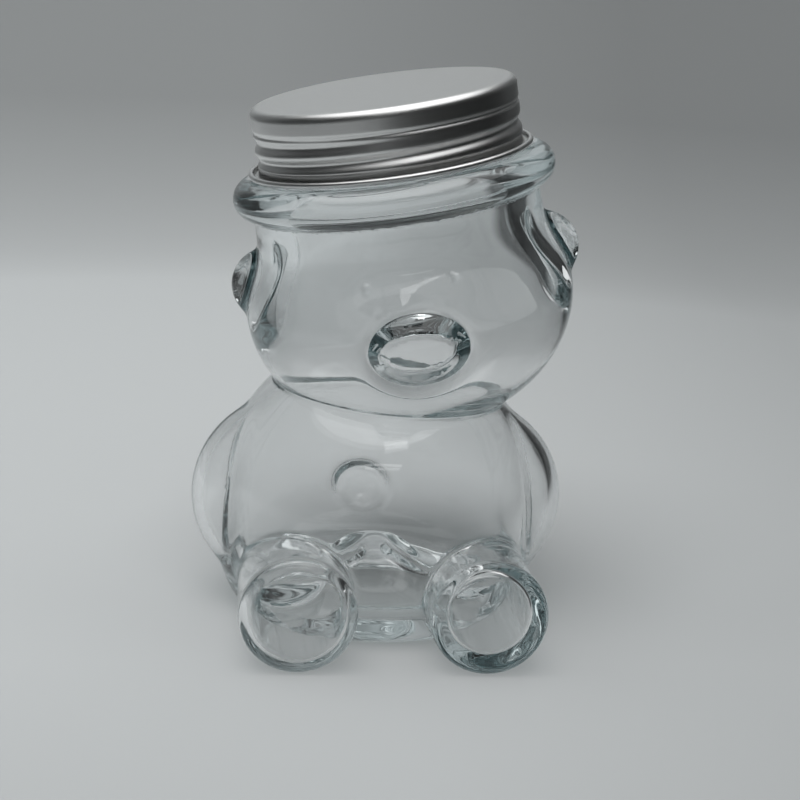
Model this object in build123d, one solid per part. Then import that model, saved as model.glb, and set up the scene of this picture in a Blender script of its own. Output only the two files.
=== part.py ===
from build123d import *
import math
import os

# A honey jar of clear glass in the shape of a seated bear, with a rolled aluminium screw lid.
# Millimetres, +Z up. The bear faces -Y and stands on the ring under its belly.
# Each piece is modelled about the middle of the base ring, then all are moved together,
# so that the origin lies under the middle of the whole jar.

# Glass in general
wall = 2.8
overrun = 1.5

# Belly, turned about the upright axis
belly_radius = 40.8
belly_height = 27.0
belly_dome_height = 42.2
base_ring_radius = 30.5
base_ring_width = 4.0
punt_depth = 11.0
floor_height = 7.0
floor_rise = 9.0
floor_flat_share = 0.3
floor_bend_share = 0.5
heel_reach_share = 0.82
heel_rise_share = 0.46
punt_flat_share = 0.38

# Arms, two flattened lobes pressed against the sides
arm_stand = 6.4
arm_radius = 25.4
arm_depth_radius = 19.5
arm_height = 28.5
arm_back_set = 1.0

# Legs, two stubby tubes that end in round soles
foot_spread = 22.6
foot_radius = 14.2
foot_clearance = 0.2
foot_stand = 13.2
sole_edge_radius = 2.4
sole_thickness = 3.4
sole_hollow_round = 1.4
right_leg_wall = 2.0
left_leg_wall = 3.8
left_hollow_lift = 0.8
hip_radius = 12.8
hip_reach = 12.0

# Head, turned about an axis that leans to the side
head_lean = 10.6
head_turn = 3.7
brim_height = 109.4
head_offset = 0.2
head_top_radius = 35.7
head_top_drop = 11.0
head_swell = 5.2
head_widest_drop = 30.0
head_bowl_depth = 33.0
head_curve_share = 0.4
brim_overhang = 4.3
brim_thickness = 9.2

# Hollow of the head. The glass is thick round the top, where the bore runs on downwards
hollow_side_wall = 4.0
hollow_sink = 6.0
bore_drop = 12.0
hollow_low_share = 0.375
hollow_high_share = 0.5

# Neck finish inside the lid
finish_root_radius = 30.9
finish_wall = 4.0
lip_round = 0.9
finish_foot_round = 0.8

# Face, ears and tail
muzzle_drop = 34.0
muzzle_rise = 4.0
muzzle_sink = 5.0
muzzle_root_width = 28.4
muzzle_root_height = 23.4
muzzle_face_width = 18.4
muzzle_face_height = 11.6
muzzle_edge_round = 1.3
pocket_sink = 9.0
pocket_rise = 0.8
pocket_root_width = 21.8
pocket_root_height = 13.1
pocket_end_width = 16.4
pocket_end_height = 8.4
pocket_edge_round = 1.0
eye_drop = 19.2
eye_angle = 16.0
eye_width = 2.4
eye_height = 3.6
eye_rise = 0.5
ear_drop = 22.0
ear_radius = 9.4
ear_half_thickness = 4.4
ear_stand = 4.7
tail_radius = 9.4
tail_height = 17.6
tail_stand = 4.6

# Lid, drawn from sheet aluminium
sheet = 0.4
lid_side_gap = 1.55
lid_corner_round = 1.7
lid_band_height = 5.2
lid_neck_depth = 0.5
lid_neck_height = 1.6
lid_thread_height = 7.6
skirt_inset = 0.25
skirt_height = 2.6
curl_outer_radius = 0.75
curl_stand = 2.6
curl_gap_angle = 50.0
bend_round = 0.35
curl_clearance = 0.5

# Liner disc in the lid
liner_thickness = 1.2
liner_top_gap = 0.05
seal_gap = 0.1

# Derived radii and reaches
arm_reach = belly_radius + arm_stand
sole_reach = belly_radius + foot_stand
tail_reach = belly_radius + tail_stand
head_radius = head_top_radius + head_swell
hollow_radius = head_radius - hollow_side_wall
hollow_widest_drop = head_widest_drop + hollow_sink
brim_radius = head_top_radius + brim_overhang
bore_radius = finish_root_radius - finish_wall
lid_radius = finish_root_radius + lid_side_gap + sheet
skirt_radius = lid_radius - skirt_inset
curl_reach = skirt_radius + curl_stand

# Derived heights along the head's axis, counted from the middle of the brim
brim_top = brim_thickness / 2
lid_height = lid_band_height + lid_neck_height + lid_thread_height + skirt_height
lid_bottom = brim_top + curl_clearance
lid_top = lid_bottom + lid_height
neck_top = lid_top - lid_band_height
neck_bottom = neck_top - lid_neck_height
skirt_top = neck_bottom - lid_thread_height
liner_top = lid_top - sheet - liner_top_gap
lip_top = liner_top - liner_thickness - seal_gap
head_frame = Plane(
    origin=(head_offset, 0, brim_height),
    x_dir=(math.cos(math.radians(head_lean)), 0, math.sin(math.radians(head_lean))),
    z_dir=(-math.sin(math.radians(head_lean)), 0, math.cos(math.radians(head_lean))),
)
head_place = head_frame.location
standing_place = Pos(0, (sole_reach - tail_reach) / 2, 0)


def turned(edges):
    """A solid turned about Z from a closed outline drawn in the XZ plane."""
    return revolve(make_face(edges), axis=Axis.Z)


def quarter_ellipse(centre_z, radius, height):
    """The curve from the side of an ellipse to its top, or to its bottom for a negative height."""
    bend = 4 * (math.sqrt(2) - 1) / 3
    return Bezier(
        (radius, 0, centre_z),
        (radius, 0, centre_z + bend * height),
        (bend * radius, 0, centre_z + height),
        (0, 0, centre_z + height),
    )


def spheroid(radius, half_length):
    """A ball stretched or flattened along Z."""
    return turned([
        quarter_ellipse(0, radius, half_length),
        quarter_ellipse(0, radius, -half_length),
        Line((0, 0, -half_length), (0, 0, half_length)),
    ])


def belly():
    """The body outside, domed up into the head so that the two meet in a sharp neck."""
    ring_inside = base_ring_radius - base_ring_width
    heel_out = base_ring_radius + heel_reach_share * (belly_radius - base_ring_radius)
    return turned([
        Bezier((0, 0, punt_depth), (punt_flat_share * ring_inside, 0, punt_depth), (ring_inside, 0, 0)),
        Line((ring_inside, 0, 0), (base_ring_radius, 0, 0)),
        Bezier(
            (base_ring_radius, 0, 0),
            (heel_out, 0, 0),
            (belly_radius, 0, heel_rise_share * belly_height),
            (belly_radius, 0, belly_height),
        ),
        quarter_ellipse(belly_height, belly_radius, belly_dome_height),
        Line((0, 0, belly_height + belly_dome_height), (0, 0, punt_depth)),
    ])


def belly_hollow():
    """The space in the belly, with a floor that rises over the push-up of the base."""
    floor = floor_height
    top = floor_height + floor_rise
    radius = belly_radius - wall
    edge = base_ring_radius - wall
    return turned([
        Bezier((0, 0, top), (floor_flat_share * edge, 0, top), (floor_bend_share * edge, 0, floor), (edge, 0, floor)),
        Bezier(
            (edge, 0, floor),
            (radius, 0, floor),
            (radius, 0, floor + heel_rise_share * (belly_height - floor)),
            (radius, 0, belly_height),
        ),
        quarter_ellipse(belly_height, radius, belly_dome_height - wall),
        Line((0, 0, belly_height + belly_dome_height - wall), (0, 0, top)),
    ])


def arm(side, inset):
    """One arm, or its hollow when inset is the wall."""
    lobe = Rot(90, 0, 0) * spheroid(arm_radius - inset, arm_depth_radius - inset)
    return Pos(side * (arm_reach - arm_radius), -arm_back_set, arm_height) * lobe


def leg(side, inset, front, edge_round):
    """One leg as a straight taper from the hip to the sole, or its hollow."""
    sole_plane = Plane(origin=(side * foot_spread, -front, foot_radius + foot_clearance), z_dir=(0, -1, 0))
    hip_plane = Plane(origin=(side * foot_spread, -hip_reach, hip_radius + foot_clearance), z_dir=(0, -1, 0))
    solid = loft([hip_plane * Circle(hip_radius - inset), sole_plane * Circle(foot_radius - inset)])
    rim = solid.edges().sort_by(Axis.Y)[0]
    return fillet(rim, edge_round)


def leg_hollows():
    """The right leg is thinner than the left, and the left one's hollow lies a little high."""
    front = sole_reach - sole_thickness
    right = leg(-1, right_leg_wall, front, sole_hollow_round)
    left = leg(1, left_leg_wall, front, sole_hollow_round)
    return [right, Pos(0, 0, left_hollow_lift) * left]


def head():
    """The head with its brim and the plain finish, about its own axis."""
    edge = brim_thickness / 2
    edge_middle = brim_radius - edge
    foot = brim_top + finish_foot_round
    lip_cut = lip_round * (1 - math.sqrt(1 / 2))
    widest = -head_widest_drop
    rise = head_curve_share * (head_widest_drop - head_top_drop)
    return turned([
        quarter_ellipse(widest, head_radius, -head_bowl_depth),
        Bezier(
            (head_radius, 0, widest),
            (head_radius, 0, widest + rise),
            (head_top_radius, 0, -head_top_drop - rise),
            (head_top_radius, 0, -head_top_drop),
        ),
        Line((head_top_radius, 0, -head_top_drop), (head_top_radius, 0, -edge)),
        Line((head_top_radius, 0, -edge), (edge_middle, 0, -edge)),
        ThreePointArc((edge_middle, 0, -edge), (brim_radius, 0, 0), (edge_middle, 0, edge)),
        Line((edge_middle, 0, brim_top), (finish_root_radius + finish_foot_round, 0, brim_top)),
        Line((finish_root_radius + finish_foot_round, 0, brim_top), (finish_root_radius, 0, foot)),
        Line((finish_root_radius, 0, foot), (finish_root_radius, 0, lip_top - lip_round)),
        ThreePointArc(
            (finish_root_radius, 0, lip_top - lip_round),
            (finish_root_radius - lip_cut, 0, lip_top - lip_cut),
            (finish_root_radius - lip_round, 0, lip_top),
        ),
        Line((finish_root_radius - lip_round, 0, lip_top), (0, 0, lip_top)),
        Line((0, 0, lip_top), (0, 0, -head_widest_drop - head_bowl_depth)),
    ])


def head_hollow():
    """The space in the head, a bowl that draws in to the bore well under the brim."""
    widest = -hollow_widest_drop
    rise = hollow_widest_drop - bore_drop
    bowl_depth = head_widest_drop + head_bowl_depth - wall - hollow_widest_drop
    return turned([
        quarter_ellipse(widest, hollow_radius, -bowl_depth),
        Bezier(
            (hollow_radius, 0, widest),
            (hollow_radius, 0, widest + hollow_low_share * rise),
            (bore_radius, 0, -bore_drop - hollow_high_share * rise),
            (bore_radius, 0, -bore_drop),
        ),
        Line((bore_radius, 0, -bore_drop), (bore_radius, 0, lip_top + overrun)),
        Line((bore_radius, 0, lip_top + overrun), (0, 0, lip_top + overrun)),
        Line((0, 0, lip_top + overrun), (0, 0, widest - bowl_depth)),
    ])


def muzzle():
    """An oval boss with a smaller flat oval face, square to the front of the head."""
    front = head_radius
    root = Plane(origin=(0, -front + muzzle_sink, -muzzle_drop), x_dir=(1, 0, 0), z_dir=(0, -1, 0))
    face = Plane(origin=(0, -front - muzzle_rise, -muzzle_drop), x_dir=(1, 0, 0), z_dir=(0, -1, 0))
    boss = loft([
        root * Ellipse(muzzle_root_width / 2, muzzle_root_height / 2),
        face * Ellipse(muzzle_face_width / 2, muzzle_face_height / 2),
    ])
    rim = boss.edges().sort_by(Axis.Y)[0]
    return fillet(rim, muzzle_edge_round)


def muzzle_pocket():
    """The hollow behind the muzzle's face, narrowing to its own flat end."""
    front = head_radius
    root = Plane(origin=(0, -front + pocket_sink, -muzzle_drop), x_dir=(1, 0, 0), z_dir=(0, -1, 0))
    end = Plane(origin=(0, -front - pocket_rise, -muzzle_drop), x_dir=(1, 0, 0), z_dir=(0, -1, 0))
    pocket = loft([
        root * Ellipse(pocket_root_width / 2, pocket_root_height / 2),
        end * Ellipse(pocket_end_width / 2, pocket_end_height / 2),
    ])
    rim = pocket.edges().sort_by(Axis.Y)[0]
    return fillet(rim, pocket_edge_round)


def side_radius(drop):
    """The outer radius of the head at a drop between its straight top and its widest level."""
    share = (drop - head_top_drop) / (head_widest_drop - head_top_drop)
    return head_top_radius + head_swell * share * share * (3 - 2 * share)


def eye(side):
    bead = spheroid(eye_width / 2, eye_height / 2)
    out = side_radius(eye_drop) + eye_rise - eye_width / 2
    return Rot(0, 0, side * eye_angle) * Pos(0, -out, -eye_drop) * bead


def ear(side):
    disc = Rot(90, 0, 0) * spheroid(ear_radius, ear_half_thickness)
    out = side_radius(ear_drop) + ear_stand - ear_radius
    return Pos(side * out, 0, -ear_drop) * disc


def tail(inset):
    return Pos(0, tail_reach - tail_radius, tail_height) * Sphere(tail_radius - inset)


def glass_jar():
    face = Rot(0, 0, -head_turn) * Compound([muzzle(), eye(-1), eye(1), ear(-1), ear(1)])
    outside = belly() + head_place * head()
    outside += [arm(side, 0) for side in (-1, 1)]
    outside += [leg(side, 0, sole_reach, sole_edge_radius) for side in (-1, 1)]
    outside += [head_place * bump for bump in face.solids()]
    outside += [tail(0)]
    inside = belly_hollow() + head_place * head_hollow()
    inside += [arm(side, wall) for side in (-1, 1)]
    inside += leg_hollows()
    inside += [head_place * (Rot(0, 0, -head_turn) * muzzle_pocket())]
    inside += [tail(wall)]
    return outside - inside


def lid_side(inset):
    """The lid's section from its axis down to the foot of the skirt, inset for the inner face."""
    outer = lid_radius - inset
    neck = outer - lid_neck_depth
    skirt = skirt_radius - inset
    points = [
        (0, lid_top - inset),
        (outer, lid_top - inset),
        (outer, neck_top),
        (neck, (neck_top + neck_bottom) / 2),
        (outer, neck_bottom),
        (outer, skirt_top + skirt_inset),
        (skirt, skirt_top),
        (skirt, lid_bottom),
    ]
    rounds = [lid_corner_round - inset] + [bend_round] * (len(points) - 3)
    closing = Polyline((skirt, lid_bottom), (0, lid_bottom), (0, lid_top - inset))
    return make_face(FilletPolyline(*points, radius=rounds).edges() + closing.edges())


def lid_curl():
    """The section of the ledge and of the edge of the sheet, rolled up and in towards the skirt."""
    middle = curl_reach - curl_outer_radius
    skirt_inside = skirt_radius - sheet
    ledge = Pos((skirt_inside + middle) / 2, lid_bottom + sheet / 2) * Rectangle(middle - skirt_inside, sheet)
    ring = Circle(curl_outer_radius) - Circle(curl_outer_radius - sheet)
    reach = 2 * curl_outer_radius
    gap = make_face(Polyline(
        (0, 0),
        (-reach, 0),
        (-reach, reach * math.tan(math.radians(curl_gap_angle))),
        close=True,
    ))
    return ledge + Pos(middle, lid_bottom + curl_outer_radius) * (ring - gap)


def lid_shell():
    """Sheet drawn to a cup, with a neck-in under the top band and a curled edge."""
    section = lid_side(0) - lid_side(sheet) + lid_curl()
    return revolve(Plane.XZ * section, axis=Axis.Z)


def lid_liner():
    """A foam disc that lies under the lid's top and seals on the lip of the glass."""
    radius = lid_radius - lid_corner_round
    return Pos(0, 0, liner_top - liner_thickness / 2) * Cylinder(radius, liner_thickness)


pieces = {
    "glass_jar": glass_jar(),
    "lid_shell": head_place * lid_shell(),
    "lid_liner": head_place * lid_liner(),
}

os.makedirs("parts", exist_ok=True)
for name, piece in pieces.items():
    placed = standing_place * piece
    placed.label = name
    export_step(placed, "parts/" + name + ".step")
    print(name, len(placed.solids()), round(placed.volume))
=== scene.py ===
import math

import bmesh
import bpy
import numpy as np
from mathutils import Matrix, Vector


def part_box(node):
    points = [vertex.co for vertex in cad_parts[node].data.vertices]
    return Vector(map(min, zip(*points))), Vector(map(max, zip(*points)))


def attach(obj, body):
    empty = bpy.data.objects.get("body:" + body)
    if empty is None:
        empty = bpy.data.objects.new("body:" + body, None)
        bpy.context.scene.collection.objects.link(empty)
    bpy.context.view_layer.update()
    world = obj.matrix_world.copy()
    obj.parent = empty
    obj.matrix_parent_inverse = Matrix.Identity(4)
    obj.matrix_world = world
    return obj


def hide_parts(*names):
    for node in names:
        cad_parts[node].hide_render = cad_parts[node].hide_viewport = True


# A clear glass honey jar shaped as a sitting bear, with a rolled aluminium screw lid.
# Metres, +Z up, the bear faces -Y. The head leans towards -X, and the lid sits square on it.

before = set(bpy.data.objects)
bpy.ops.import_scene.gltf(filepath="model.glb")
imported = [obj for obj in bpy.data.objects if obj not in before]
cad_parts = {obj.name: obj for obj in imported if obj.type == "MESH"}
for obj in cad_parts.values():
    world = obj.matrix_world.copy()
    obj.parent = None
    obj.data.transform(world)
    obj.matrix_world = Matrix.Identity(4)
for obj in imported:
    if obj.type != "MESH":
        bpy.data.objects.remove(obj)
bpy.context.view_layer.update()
print("packed model loaded")

headSeat = {
    "middle": (0.0002, 0.0043, 0.1094),  # middle of the brim
    "lean": 10.6,  # degrees, top towards -X
    "turn": 3.7,  # the face looks a little to its right
}

neckFinish = {
    "rootRadius": 0.0309,
    "boreRadius": 0.0269,
    "brimTop": 0.0046,  # heights along the head's axis from the middle of the brim
    "lidBottom": 0.0051,
    "lidTop": 0.0221,
    "lipTop": 0.02035,
    "pitch": 0.00423,  # six turns to the inch
    "threadStart": 0.0085,
    "threadAngle": 110.0,
    "threadTurns": 1.5,
    "beadRadius": 0.0009,  # the thread on the glass, and where its middle lies
    "beadMiddle": 0.03095,
    "beadFade": 0.12,  # the share of a turn over which it runs out
    "rootRound": 0.0008,
    "lipRound": 0.0009,
}


def headMatrix():
    lean = math.radians(headSeat["lean"])
    turned = Matrix.Rotation(-lean, 4, "Y")
    return Matrix.Translation(Vector(headSeat["middle"])) @ turned


def wire(tree, source, target):
    tree.links.new(source, target)


# Outlines lie in a plane, and run from the axis at the bottom to the axis at the top.


def bezierPoints(corners, count):
    t = np.linspace(0, 1, count)[:, None]
    a, b, c, d = np.array(corners, float)
    return (1 - t) ** 3 * a + 3 * (1 - t) ** 2 * t * b + 3 * (1 - t) * t**2 * c + t**3 * d


def quarterEllipse(level, radius, rise, count=48):
    angle = np.linspace(0, math.pi / 2, count)
    return np.stack([radius * np.cos(angle), level + rise * np.sin(angle)], 1)


def roundedCorners(points, rounds, count=8):
    # every inner corner of a bent line gets an arc of its own radius
    made = [np.array(points[0], float)]
    for before, here, after, radius in zip(points, points[1:], points[2:], rounds):
        p, q, r = (np.array(v, float) for v in (before, here, after))
        into, out = (p - q) / np.linalg.norm(p - q), (r - q) / np.linalg.norm(r - q)
        half = math.acos(max(-1.0, min(1.0, float(into @ out)))) / 2
        reach = radius / math.tan(half)
        middle = q + (into + out) / np.linalg.norm(into + out) * radius / math.sin(half)
        start, end = q + into * reach - middle, q + out * reach - middle
        sweep = math.atan2(start[0] * end[1] - start[1] * end[0], float(start @ end))
        for k in range(count + 1):
            a = sweep * k / count
            turned = (
                start[0] * math.cos(a) - start[1] * math.sin(a),
                start[0] * math.sin(a) + start[1] * math.cos(a),
            )
            made.append(middle + turned)
    made.append(np.array(points[-1], float))
    return np.array(made)


# The glass is kept as a distance to its surface, so that every lobe runs into the next as in a mould.


def turnedField(outline, step, soften, pad=0.006):
    # a table of signed distance to a turned outline, over radius and height
    mirrored = outline[::-1] * [-1, 1]
    ring = np.vstack([outline, mirrored])
    start, end = ring, np.roll(ring, -1, 0)
    keep = np.linalg.norm(end - start, axis=1) > 1e-9
    start, end = start[keep], end[keep]
    low = np.array([-6 * step, outline[:, 1].min() - pad])
    high = np.array([outline[:, 0].max() + pad, outline[:, 1].max() + pad])
    size = np.ceil((high - low) / step).astype(int) + 1
    across = low[0] + step * np.arange(size[0])
    up = low[1] + step * np.arange(size[1])
    place = np.stack(np.meshgrid(across, up, indexing="ij"), -1).reshape(-1, 2)
    nearest = np.full(len(place), 1e9)
    crossings = np.zeros(len(place), int)
    for a, b in zip(start, end):
        edge = b - a
        along = np.clip(((place - a) @ edge) / (edge @ edge), 0, 1)
        nearest = np.minimum(nearest, ((place - a - along[:, None] * edge) ** 2).sum(1))
        spans = (a[1] > place[:, 1]) != (b[1] > place[:, 1])
        if edge[1]:
            crossings += spans & (place[:, 0] < a[0] + edge[0] * (place[:, 1] - a[1]) / edge[1])
    table = (np.sqrt(nearest) * np.where(crossings % 2, -1, 1)).reshape(size)
    reach = int(3 * soften / step) + 1
    kernel = np.exp(-0.5 * (np.arange(-reach, reach + 1) * step / soften) ** 2)
    kernel /= kernel.sum()
    for axis in (0, 1):
        margins = [(reach, reach) if k == axis else (0, 0) for k in (0, 1)]
        padded = np.pad(table, margins, mode="edge")
        table = sum(w * np.take(padded, np.arange(size[axis]) + k, axis) for k, w in enumerate(kernel))
    return {"low": low, "step": step, "table": table}


def readField(field, radius, height):
    # smooth reading of the table, and outside it the distance to it is added
    size = np.array(field["table"].shape)
    spot = (np.stack([radius, height], 1) - field["low"]) / field["step"]
    inside = np.clip(spot, 1, size - 2.001)
    beyond = np.linalg.norm(spot - inside, axis=1) * field["step"]
    cell = np.minimum(np.floor(inside).astype(int), size - 3)
    f = inside - cell
    weight = [
        (1 - f) ** 3 / 6,
        (3 * f**3 - 6 * f**2 + 4) / 6,
        (-3 * f**3 + 3 * f**2 + 3 * f + 1) / 6,
        f**3 / 6,
    ]
    flat = field["table"].ravel()
    total = np.zeros(len(radius))
    for i in range(4):
        row = (cell[:, 0] + i - 1) * size[1] + cell[:, 1] - 1
        for j in range(4):
            total += weight[i][:, 0] * weight[j][:, 1] * flat[row + j]
    return total + beyond


def aboutAxis(field, place):
    return readField(field, np.hypot(place[:, 0], place[:, 1]), place[:, 2])


def join(a, b, blend):
    # the nearer of two surfaces, with a soft crease where they meet
    h = np.maximum(blend - np.abs(a - b), 0) / blend
    return np.minimum(a, b) - h**3 * blend / 6


def keepBoth(a, b, blend):
    return -join(-a, -b, blend)


def eggField(place, middle, radii):
    spot = (place - np.array(middle)) / np.array(radii)
    k0 = np.linalg.norm(spot, axis=1)
    k1 = np.linalg.norm(spot / np.array(radii), axis=1) + 1e-9
    return k0 * (k0 - 1) / k1


jar = {
    "wall": 0.0028,
    "back": 0.0043,  # the belly's axis stands this far behind the middle of the whole jar
    "bellyRadius": 0.0408,
    "bellyHeight": 0.027,
    "domeHeight": 0.0422,
    "ringRadius": 0.0305,
    "ringWidth": 0.004,
    "puntDepth": 0.011,  # the base is pushed up in the middle, and the floor inside rises over it
    "puntShares": (0.45, 0.36, 0.3),
    "floorHeight": 0.007,
    "floorRise": 0.009,
    "floorShares": (0.62, 0.3),
    "heelShares": (0.82, 0.46),
    "armMiddle": (0.0218, -0.001, 0.0285),
    "armRadii": (0.02537, 0.0195, 0.0254),
    "footSpread": 0.0226,
    "footRadius": 0.0142,
    "footLift": 0.0002,
    "footReach": 0.054,
    "hipRadius": 0.0128,
    "hipReach": 0.012,
    "hipEdge": 0.002,
    "soleEdge": 0.0024,
    "legWalls": (0.002, 0.0038),  # the right leg was blown thinner than the left
    "legInsideEdges": (0.0016, 0.0012),
    "leftHollowLift": 0.0008,
    "soleThickness": 0.0034,
    "headRadius": 0.0409,
    "headWidest": 0.03,
    "bowlDepth": 0.033,
    "topRadius": 0.0357,
    "sideShare": 0.4,
    "topDrop": 0.011,
    "brimRadius": 0.04,
    "boreDrop": 0.012,
    "hollowRadius": 0.0369,
    "hollowWidest": 0.036,
    "hollowRise": 0.009,
    "boreRun": 0.012,
    "boreTop": 0.035,
    "tailRadius": 0.0094,
    "tailHeight": 0.0176,
    "tailReach": 0.04537,
    "earRadii": (0.0094, 0.0044, 0.0094),
    "earReach": 0.0436,
    "earDrop": 0.022,
    "muzzleDrop": 0.034,
    "muzzleRise": 0.004,
    "muzzleRoot": (0.0142, 0.0117),
    "muzzleFace": (0.0092, 0.0058),
    "muzzleEdge": 0.0018,
    "muzzleSunk": 0.005,  # how far the boss starts inside the head
    "muzzleBack": 0.008,
    "flankShare": 0.86,
    "pocketRoot": (0.0102, 0.006),
    "pocketEnd": (0.0082, 0.0042),
    "pocketRise": 0.0008,
    "pocketEdge": 0.001,
    "eyeRadii": (0.0012, 0.0012, 0.0018),
    "eyeDrop": 0.0192,
    "eyeTurn": 16.0,
    "eyeOut": 0.03668,
    "creaseBlend": 0.0022,
    "muzzleBlend": 0.0026,
    "eyeBlend": 0.0008,
    "threadBlend": 0.0006,
    "headBlend": 0.0016,
    "tableBlend": 0.0004,
    "insideBlend": 0.003,
    "tailInsideBlend": 0.003,
    "pocketBlend": 0.0012,
    "neckInsideBlend": 0.003,
    "mouthEdge": 0.001,
    "ripple": 0.00012,  # the blown inside isn't quite even, and gets even towards rippleTop
    "rippleTop": 0.122,
    "rippleFade": 0.02,
    "bodyTable": (0.0004, 0.0005),  # cell of a distance table, and how much its corners are softened
    "legTable": (0.0004, 0.0003),
    "headTable": (0.0003, 0.0003),
    "hollowTable": (0.0005, 0.0009),
    "gridStep": 0.00088,
    "quickStep": 1.8,
    "threadReaches": (0.0022, 0.0012),  # the cells this near the thread are halved, and halved again
    "mostTriangles": 190000,
    "slice": 400000,  # so many points at a time, to keep the memory small
}


def bellyOutline(inset):
    ring = jar["ringRadius"] - jar["ringWidth"]
    radius = jar["bellyRadius"] - inset
    level = jar["bellyHeight"]
    foot = jar["ringRadius"] - inset
    if inset:
        floor = jar["floorHeight"]
        top = floor + jar["floorRise"]
        flat, bend = jar["floorShares"]
        base = bezierPoints([(0, top), (foot * flat, top), (foot * bend, floor), (foot, floor)], 32)
    else:
        floor, punt = 0.0, jar["puntDepth"]
        flat, bend, low = jar["puntShares"]
        push = bezierPoints([(0, punt), (ring * flat, punt), (ring * bend, punt * low), (ring, 0)], 32)
        base = np.vstack([push, [(foot, 0)]])
    out, up = jar["heelShares"]
    corner = (foot + out * (radius - foot), floor), (radius, floor + up * (level - floor))
    heel = bezierPoints([(foot, floor), *corner, (radius, level)], 40)
    dome = quarterEllipse(level, radius, jar["domeHeight"] - inset)
    return np.vstack([base, heel[1:], dome[1:]])


def headOutline():
    radius, top = jar["headRadius"], jar["topRadius"]
    widest, drop = -jar["headWidest"], -jar["topDrop"]
    bowl = quarterEllipse(widest, radius, -jar["bowlDepth"])[::-1]
    rise = (drop - widest) * jar["sideShare"]
    side = bezierPoints([(radius, widest), (radius, widest + rise), (top, drop - rise), (top, drop)], 32)
    brim = neckFinish["brimTop"]
    edge = jar["brimRadius"] - brim
    angle = np.linspace(-math.pi / 2, math.pi / 2, 24)
    rim = np.stack([edge + brim * np.cos(angle), brim * np.sin(angle)], 1)
    root, lip = neckFinish["rootRadius"], neckFinish["lipTop"]
    rounds = [neckFinish["rootRound"], neckFinish["lipRound"]]
    neck = roundedCorners([(edge, brim), (root, brim), (root, lip), (0, lip)], rounds)
    return np.vstack([bowl, side[1:], rim, neck[1:]])


def headHollow():
    # the glass is thick round the top of the head, where the bore runs on downwards
    radius, widest = jar["hollowRadius"], -jar["hollowWidest"]
    bore, foot = neckFinish["boreRadius"], -jar["boreDrop"]
    floor = widest + jar["headWidest"] + jar["bowlDepth"] - jar["wall"]
    bowl = quarterEllipse(widest, radius, -floor)[::-1]
    corner = (radius, widest + jar["hollowRise"]), (bore, foot - jar["boreRun"])
    side = bezierPoints([(radius, widest), *corner, (bore, foot)], 32)
    return np.vstack([bowl, side[1:], [(bore, jar["boreTop"]), (0, jar["boreTop"])]])


def legOutline(inset, edge):
    # along the leg from the hip, which is at the bottom of this outline, to the sole
    start, end = jar["hipReach"], jar["footReach"] - (jar["soleThickness"] if inset else 0)
    hip, foot = jar["hipRadius"] - inset, jar["footRadius"] - inset
    return roundedCorners([(0, start), (hip, start), (foot, end), (0, end)], [jar["hipEdge"], edge], 12)


def threadField(spot):
    # a round bead on a right-hand helix, drawn thin at both ends
    radius, height = np.hypot(spot[:, 0], spot[:, 1]), spot[:, 2]
    start = math.radians(neckFinish["threadAngle"] + 180)
    share = ((np.arctan2(spot[:, 1], spot[:, 0]) - start) / (2 * math.pi)) % 1
    pitch, turns = neckFinish["pitch"], neckFinish["threadTurns"]
    near = np.full(len(spot), 1e3)
    for k in range(2):
        turn = share + k
        fade = np.clip(np.minimum(turn, turns - turn) / neckFinish["beadFade"], 0, 1)
        bead = neckFinish["beadRadius"] * np.sqrt(fade * (2 - fade))
        level = neckFinish["threadStart"] + pitch * turn
        gap = np.hypot(radius - neckFinish["beadMiddle"], height - level) - bead
        near = np.minimum(near, np.where(fade > 0, gap, 1e3))
    return np.minimum(near, 0.01)


def headSpots(place):
    spot = (place - np.array(headSeat["middle"])) @ np.array(headMatrix().to_3x3())
    turn = math.radians(headSeat["turn"])
    face = spot.copy()
    face[:, 0] = spot[:, 0] * math.cos(turn) - spot[:, 1] * math.sin(turn)
    face[:, 1] = spot[:, 0] * math.sin(turn) + spot[:, 1] * math.cos(turn)
    return spot, face


def muzzleField(face, root, end, rise, edge):
    # an oval boss whose flank narrows from the root to its flat end
    out = -face[:, 1] - jar["headRadius"]
    sunk, back = jar["muzzleSunk"], jar["muzzleBack"]
    share = np.clip((out + sunk) / (rise + sunk), -0.4, 1.2)[:, None]
    radii = np.array(root) * (1 - share) + np.array(end) * share
    oval = np.stack([face[:, 0], face[:, 2] + jar["muzzleDrop"]], 1) / radii
    k0 = np.linalg.norm(oval, axis=1)
    flank = k0 * (k0 - 1) / (np.linalg.norm(oval / radii, axis=1) + 1e-9) * jar["flankShare"]
    return keepBoth(flank, np.abs(out + back) - rise - back, edge)


def mirroredSide(place):
    side = place.copy()
    side[:, 0] = np.abs(side[:, 0])
    return side


def tailField(body, wall):
    middle = (0, jar["tailReach"] - jar["tailRadius"], jar["tailHeight"])
    return eggField(body, middle, (jar["tailRadius"] - wall,) * 3)


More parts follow.
